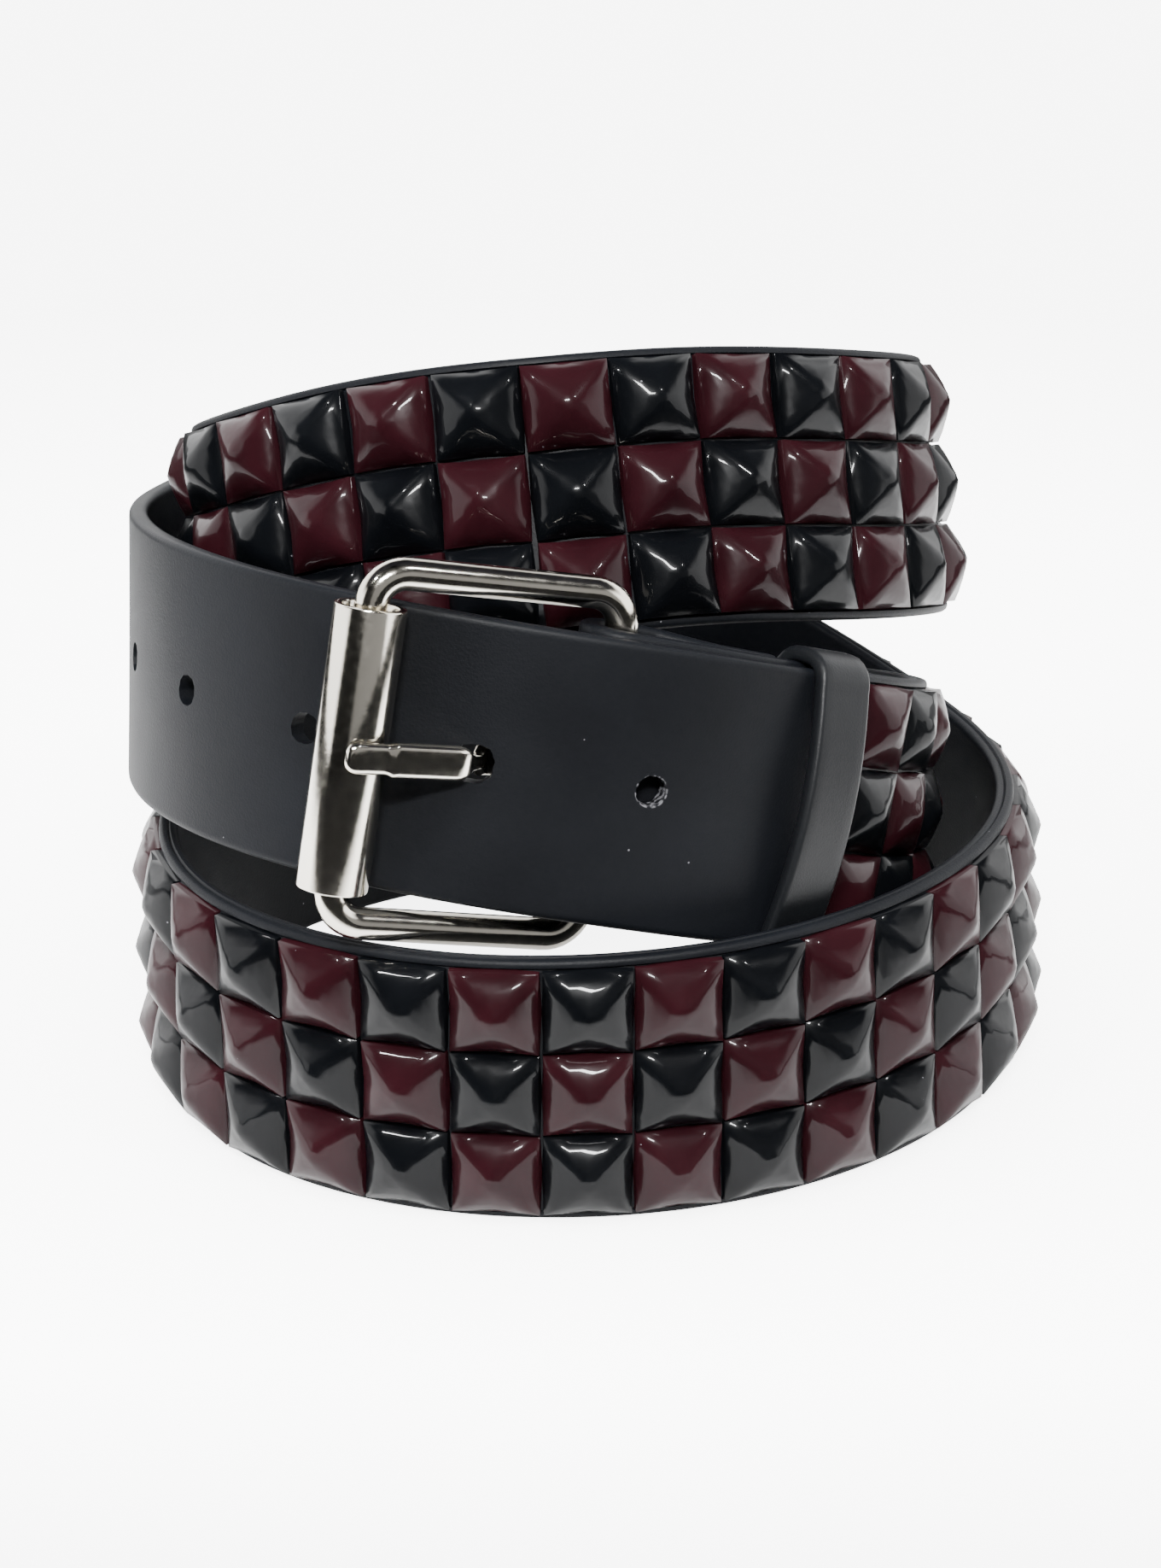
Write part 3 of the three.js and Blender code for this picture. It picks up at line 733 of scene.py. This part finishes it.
def finish_stud():
    stud = one_stud()
    long, wide = STUD_BASE
    on_corner = lambda p: abs(abs(p.x / long) - abs(p.y / wide)) < 0.002 and p.xy.length > 0.1
    outer = lambda p: p.xy.length > (7 if on_corner(p) else 3.4)
    crease(stud, 1, lambda a, b: max(a.z, b.z) < 0)
    crease(stud, 0.8, lambda a, b: (a - b).xy.length < 0.01)
    crease(stud, RIM_CREASE, lambda a, b: min(a.z, b.z) > 0 and outer(a) and outer(b)
           and on_corner(a) != on_corner(b))
    crease(stud, RIDGE_CREASE, lambda a, b: min(a.z, b.z) > 0 and on_corner(a) and on_corner(b)
           and outer(a) != outer(b))
    crease(stud, TOP_CREASE, lambda a, b: min(a.z, b.z) > 0 and not outer(a) and not outer(b)
           and (on_corner(a) and b.xy.length < 0.05 or on_corner(b) and a.xy.length < 0.05))
    bpy.ops.object.mode_set(mode="OBJECT")
    modify(stud, "SUBSURF", levels=1, render_levels=1)
    apply_all(stud)
    bpy.ops.object.mode_set(mode="EDIT")
    bpy.ops.mesh.select_all(action="SELECT")
    bpy.ops.mesh.normals_make_consistent(inside=False)
    bpy.ops.object.mode_set(mode="OBJECT")
    return stud


def stud_fields():
    """The stud copied along the strap in three rows, black and maroon in turn."""
    stud = finish_stud()
    fields = {"studs_black": [], "studs_maroon": []}
    for column in range(stud_columns):
        middle, along, across, out = section(stud_start + (column + 0.5) * STUD_PITCH)
        for row in range(STUD_ROWS):
            colour = "studs_maroon" if (column + row) % 2 == 0 else "studs_black"
            copy = bpy.data.objects.new(colour, stud.data.copy())
            bpy.context.scene.collection.objects.link(copy)
            point = middle + across * ((STUD_ROWS - 1) / 2 - row) * STUD_PITCH + out * FACE
            copy.matrix_world = in_scene(point, along, across, out)
            fields[colour].append(copy)
    bpy.data.objects.remove(stud)
    joined = []
    for colour, copies in fields.items():
        deselect()
        for copy in copies:
            copy.select_set(True)
        bpy.context.view_layer.objects.active = copies[0]
        bpy.ops.object.transform_apply()
        bpy.ops.object.join()
        joined.append(settle(started(colour), None, 50))
    return joined


# The buckle

def on_buckle(along_frame, across, out=0):
    return buckle_heel + forward * along_frame + buckle_across * across + buckle_out * out


def wire_frame():
    """Round wire bent to a rectangle, from the heel bar to the roller's bar."""
    deselect()
    half = FRAME_WIDTH / 2
    bpy.ops.mesh.primitive_plane_add(size=1, location=(reach / 2 * MM, 0, 0))
    bpy.ops.transform.resize(value=(reach * MM, FRAME_WIDTH * MM, 1))
    bpy.ops.object.transform_apply()
    wire = started("wire_frame")
    pick(wire, "verts", lambda p: True)
    bpy.ops.mesh.bevel(offset=FRAME_CORNER * MM, segments=10, affect="VERTICES")
    bpy.ops.mesh.select_mode(type="FACE")
    bpy.ops.mesh.select_all(action="SELECT")
    bpy.ops.mesh.delete(type="ONLY_FACE")
    bpy.ops.object.mode_set(mode="OBJECT")
    bpy.ops.object.convert(target="CURVE")
    wire.data.bevel_depth = WIRE / 2 * MM
    wire.data.bevel_resolution = 8
    bpy.ops.object.convert(target="MESH")
    return settle(wire, in_scene(buckle_heel, forward, buckle_across, -buckle_out), 50)


def rolled_tube():
    """Sheet rolled round the front bar, with the slit where its edges meet."""
    deselect()
    middle = (ROLLER_DIAMETER - ROLLER_WALL) / 2
    tube = box("rolled_tube", (middle - ROLLER_WALL / 2, -ROLLER_LENGTH / 2, -0.01),
               (middle + ROLLER_WALL / 2, ROLLER_LENGTH / 2, 0.01))
    pick(tube, "faces", lambda centre, way: way.z < 0.5)
    bpy.ops.mesh.delete(type="FACE")
    pick(tube, "verts", lambda p: True)
    bpy.ops.mesh.select_mode(type="FACE")
    bpy.ops.mesh.select_all(action="SELECT")
    bpy.ops.mesh.spin(steps=72, angle=radians(ROLLER_SPAN), center=(0, 0, 0), axis=(0, 1, 0))
    bpy.ops.mesh.select_all(action="SELECT")
    bpy.ops.mesh.normals_make_consistent(inside=False)
    bpy.ops.object.mode_set(mode="OBJECT")
    modify(tube, "BEVEL", width=0.3 * MM, segments=2, limit_method="ANGLE", angle_limit=radians(50))
    apply_all(tube)
    turned = Matrix.Rotation(radians(ROLLER_SEAM), 4, "Y")
    centre = on_buckle(reach, 0)
    return settle(tube, in_scene(centre, forward, buckle_across, -buckle_out) @ turned, 40)


def rounded(points, near):
    """The inner points of a path, each corner there turned into a short curve."""
    curve = []
    for before, corner, after in zip(points, points[1:], points[2:]):
        before, corner, after = Vector(before), Vector(corner), Vector(after)
        start = corner + (before - corner).normalized() * near
        end = corner + (after - corner).normalized() * near
        for i in range(6):
            share = i / 5
            curve.append(tuple(start.lerp(corner, share).lerp(corner.lerp(end, share), share)))
    return curve


def pin_stations():
    """The prong's middle line in the buckle's own plane, as forward and out."""
    hook = WIRE / 2 + GAP + PRONG_THICKNESS / 2
    points = [(-hook * sin(radians(turn)), hook * cos(radians(turn))) for turn in range(250, -1, -12)]
    clear = FACE + GAP + PRONG_THICKNESS / 2
    for length, out in ((prong_hole_at + PRONG_LEAD, -clear), (prong_hole_at - PRONG_LEAD, clear)):
        offset = place(length, 0, out) - buckle_heel
        points.append((offset.dot(forward), offset.dot(buckle_out)))
    points[-2:] = rounded(points[-3:] + [(reach, ROLLER_DIAMETER / 2 + GAP)], PRONG_BEND)
    rest = ROLLER_DIAMETER / 2 + GAP + PRONG_THICKNESS / 2
    points.append((reach, rest))
    points.append((reach + TIP_PAST_ROLLER, rest))
    return points


def pin():
    """A flat-sided prong with rounded edges, stepped down where it lies on the roller."""
    points = pin_stations()
    knots = [Vector((x, -y, 0)) for x, y in points]
    line = [(knot, UP) for knot in knots]
    length = sum((b - a).length for a, b in zip(knots, knots[1:]))
    half, thick = PRONG_WIDTH / 2, PRONG_THICKNESS / 2
    bar = box("pin", (0, -thick, -half), (length, thick, half))
    pick(bar, "edges", lambda a, b: runs_along(a, b, 1) and a.x > length - 0.01)
    bpy.ops.mesh.bevel(offset=1.7 * MM, segments=6)
    on_side = lambda p: abs(p.z) > half - 0.01
    pick(bar, "edges", lambda a, b: abs(a.y - b.y) < 0.01
         and (on_side(a) and on_side(b) or max(a.x, b.x) > length - 1.8))
    bpy.ops.mesh.bevel(offset=0.85 * MM, segments=4)
    slice_at(bar, 0, [length * i / 90 for i in range(1, 90)])
    on_roller = length - PRONG_STEP_FROM_TIP
    nudge(bar, lambda p: p.x > on_roller and p.y < -0.1, (0, 0.3, 0))
    for side in (-1, 1):
        nudge(bar, lambda p: p.x > on_roller and p.z * side > 0.5, (0, 0, -0.25 * side))
    # It narrows where it turns down into the hole, and widens again under the strap
    turn = sum((b - a).length for a, b in zip(knots[:PRONG_TURN], knots[1:PRONG_TURN + 1]))
    for i, factor in enumerate((0.98, 0.95, 0.91, 0.86, 0.8, 0.8)):
        pick(bar, "verts", lambda p: p.x < turn + 0.9 - 0.35 * i)
        bpy.ops.transform.resize(value=(1, 1, factor), center_override=(0, 0, 0))
    pick(bar, "verts", lambda p: p.x < turn - 4)
    bpy.ops.transform.resize(value=(1, 1, 1.9), center_override=(0, 0, 0))
    bpy.ops.object.mode_set(mode="OBJECT")
    bend_along(bar, line)
    return settle(bar, in_scene(buckle_heel, forward, -buckle_out, buckle_across), 40)


def keeper_loop():
    """A leather strip bent round both layers of strap, its ends meeting behind them."""
    top, bottom = FACE + KEEPER_SLACK, -(lay + FACE + KEEPER_SLACK)
    half, grow = STRAP_WIDTH / 2 + KEEPER_SLACK, KEEPER_THICKNESS / 2
    corner = KEEPER_CORNER
    # X is across the strap, Y is into it, so that the loop's front faces out
    outline = [(0, bottom - grow)]
    for across, out, first in ((half, bottom, 270), (half, top, 0), (-half, top, 90), (-half, bottom, 180)):
        middle = (across - corner * (1 if across > 0 else -1), out - corner * (1 if out > 0 else -1))
        for turn in range(first, first + 91, 15):
            outline.append((middle[0] + (corner + grow) * cos(radians(turn)),
                            middle[1] + (corner + grow) * sin(radians(turn))))
    outline.append((0, bottom - grow))
    # The front run lies between the corners' points and stands off in a shallow arch
    run = half - corner
    outline[15:15] = [(run * share, top + grow + KEEPER_BOW * (1 - share ** 2))
                      for share in (1 - i / 10 for i in range(1, 20))]
    line = [(Vector((x, y, 0)), UP) for x, y in outline]
    length = sum((b[0] - a[0]).length for a, b in zip(line, line[1:]))
    strip = box("keeper_loop", (0.1, -grow, -KEEPER_WIDTH / 2), (length - 0.1, grow, KEEPER_WIDTH / 2))
    pick(strip, "edges", lambda a, b: runs_along(a, b, 0))
    bpy.ops.mesh.bevel(offset=0.8 * MM, segments=4)
    slice_at(strip, 2, (-2.5, 0, 2.5))
    cut_edges(strip, 0, (99,))
    bpy.ops.object.mode_set(mode="OBJECT")
    keep_flat(strip)
    bend_along(strip, line)
    middle, along, across, out = section(keeper_at)
    return settle(strip, in_scene(middle, across, out, along), 40)


grain_nodes = grain_group()
leather = leather_material(grain_nodes)
black = enamel_material("black_enamel", (0.0010, 0.0012, 0.0016), (0.0018, 0.0021, 0.0027), grain_nodes)
maroon = enamel_material("maroon_enamel", (0.0090, 0.0018, 0.0028), (0.0135, 0.0028, 0.0042), grain_nodes)
nickel = nickel_material()

dress(strap(), leather, "leather", "leather_strap")
for field, enamel in zip(stud_fields(), (black, maroon)):
    dress(field, enamel, "enamel", "studs_lower", "studs_upper")
dress(wire_frame(), nickel, "nickel", "buckle_frame")
dress(rolled_tube(), nickel, "nickel", "roller")
dress(pin(), nickel, "nickel", "prong")
dress(keeper_loop(), keeper_material(grain_nodes), "leather", "keeper")


# Floor, light and camera

BACKDROP_GLOW = 5
FLOOR_FADE = (0.27, 0.5)
FRONT_FADE = (-0.12, -0.17)

# Bearing from the camera's side in degrees, left to right, and how bright the room is there
ROOM = ((-68, 1), (-58, 0.004), (-12, 0.004), (-2, 0.08), (58, 0.12), (68, 1), (142, 1), (152, 0.5))


def studio():
    deselect()
    bpy.ops.mesh.primitive_plane_add(size=24)
    floor = started("floor")
    paper, tree, shader = material("floor_paper", base_color=(0.9, 0.9, 0.9, 1), roughness=0.9)
    shader.inputs["Specular IOR Level"].default_value = 0
    put = node(tree, "ShaderNodeTexCoord").outputs["Object"]
    # The floor turns dark in front and far out, and a glow that only the camera sees keeps it pale
    middle = node(tree, "ShaderNodeVectorMath", {0: put}, operation="LENGTH").outputs["Value"]
    depth = node(tree, "ShaderNodeSeparateXYZ", {"Vector": put}).outputs["Y"]
    front = node(tree, "ShaderNodeMapRange", {"Value": depth}, clamp=False)
    front.inputs["From Min"].default_value = FRONT_FADE[0]
    front.inputs["From Max"].default_value = FRONT_FADE[1]
    front.inputs["To Min"].default_value = FLOOR_FADE[0]
    front.inputs["To Max"].default_value = FLOOR_FADE[1]
    away = node(tree, "ShaderNodeMath", {0: middle, 1: front.outputs["Result"]},
                operation="MAXIMUM").outputs[0]
    fade = node(tree, "ShaderNodeValToRGB", {"Fac": away})
    fade.color_ramp.elements[0].position = FLOOR_FADE[0]
    fade.color_ramp.elements[0].color = (0.9, 0.9, 0.9, 1)
    fade.color_ramp.elements[1].position = FLOOR_FADE[1]
    fade.color_ramp.elements[1].color = (0.004, 0.004, 0.004, 1)
    tree.links.new(fade.outputs["Color"], shader.inputs["Base Color"])
    seen = node(tree, "ShaderNodeLightPath").outputs["Is Camera Ray"]
    lift = node(tree, "ShaderNodeMapRange", {"Value": away})
    lift.inputs["From Min"].default_value = FLOOR_FADE[0]
    lift.inputs["From Max"].default_value = FLOOR_FADE[1]
    lift.inputs["To Min"].default_value = BACKDROP_GLOW
    lift.inputs["To Max"].default_value = BACKDROP_GLOW + 2.6
    glow = node(tree, "ShaderNodeMath", {0: seen, 1: lift.outputs["Result"]}, operation="MULTIPLY")
    tree.links.new(glow.outputs[0], shader.inputs["Emission Strength"])
    shader.inputs["Emission Color"].default_value = (1, 1, 1, 1)
    floor.data.materials.append(paper)

    world = bpy.data.worlds.new("studio")
    world.use_nodes = True
    bpy.context.scene.world = world
    tree = world.node_tree
    put = node(tree, "ShaderNodeTexCoord").outputs["Generated"]
    axes = node(tree, "ShaderNodeSeparateXYZ", {"Vector": put})
    behind = node(tree, "ShaderNodeMath", {0: axes.outputs["Y"]}, operation="MAXIMUM")
    behind.inputs[1].default_value = 0
    lower = node(tree, "ShaderNodeMath", {0: behind.outputs[0], 2: axes.outputs["Z"]},
                 operation="MULTIPLY_ADD")
    lower.inputs[1].default_value = -0.45
    fade = node(tree, "ShaderNodeValToRGB", {"Fac": lower.outputs[0]})
    ramp = fade.color_ramp
    ramp.elements[0].position = 0.32
    ramp.elements[0].color = (1, 1, 1, 1)
    ramp.elements[1].position = 0.55
    ramp.elements[1].color = (0.006, 0.006, 0.008, 1)
    # Bright walls at the sides and behind, the dark end of the room behind the camera
    ahead = node(tree, "ShaderNodeMath", {0: axes.outputs["Y"]}, operation="MULTIPLY")
    ahead.inputs[1].default_value = -1
    bearing = node(tree, "ShaderNodeMath", {0: axes.outputs["X"], 1: ahead.outputs[0]}, operation="ARCTAN2")
    share = node(tree, "ShaderNodeMapRange", {"Value": bearing.outputs[0]})
    share.inputs["From Min"].default_value = -pi
    share.inputs["From Max"].default_value = pi
    walls = node(tree, "ShaderNodeValToRGB", {"Fac": share.outputs["Result"]})
    ramp = walls.color_ramp
    while len(ramp.elements) > 1:
        ramp.elements.remove(ramp.elements[-1])
    ramp.elements[0].position = 0
    ramp.elements[0].color = (1, 1, 1, 1)
    for turn, tone in ROOM:
        stop = ramp.elements.new((turn + 180) / 360)
        stop.color = (tone, tone, tone, 1)
    room = node(tree, "ShaderNodeMix", data_type="RGBA", blend_type="MULTIPLY")
    room.inputs["Factor"].default_value = 1
    tree.links.new(fade.outputs["Color"], room.inputs["A"])
    tree.links.new(walls.outputs["Color"], room.inputs["B"])
    tree.links.new(room.outputs["Result"], tree.nodes["Background"].inputs["Color"])
    tree.nodes["Background"].inputs["Strength"].default_value = 3.4

    # name, place, aim, width, height, watts, shows in gloss
    lamps = (
        ("overhead", (0, 0, 1.6), (0, 0, 0), 2.6, 2.6, 130, False),
        ("left_box", (-1.2, -0.3, 0.5), (0, 0, 0.05), 0.7, 0.9, 30, False),
        ("bar_box", (0.0, -0.85, 0.82), (0, 0, 0.03), 0.3, 0.09, 26, True),
        ("spot_left", (-0.55, -0.5, 1.0), (0, 0, 0.05), 0.05, 0.05, 4.0, True),
        ("spot_right", (0.6, -0.5, 1.0), (0, 0, 0.05), 0.05, 0.05, 4.0, True),
    )
    for name, at, aim, width, height, power, shows in lamps:
        light = bpy.data.lights.new(name, "AREA")
        light.shape = "RECTANGLE"
        light.size, light.size_y, light.energy = width, height, power
        lamp = bpy.data.objects.new(name, light)
        bpy.context.scene.collection.objects.link(lamp)
        lamp.location = at
        lamp.rotation_euler = (Vector(aim) - Vector(at)).to_track_quat("-Z", "Y").to_euler()
        lamp.visible_glossy = shows

    camera = bpy.data.cameras.new("camera")
    camera.lens = 75
    camera.clip_start = 0.01
    eye = bpy.data.objects.new("camera", camera)
    bpy.context.scene.collection.objects.link(eye)
    eye.location = Vector((-1.8, -499.2, 236.4)) * MM
    eye.rotation_euler = (radians(90 - 21.8), 0, 0)
    bpy.context.scene.camera = eye


studio()
deselect()
bpy.context.view_layer.update()
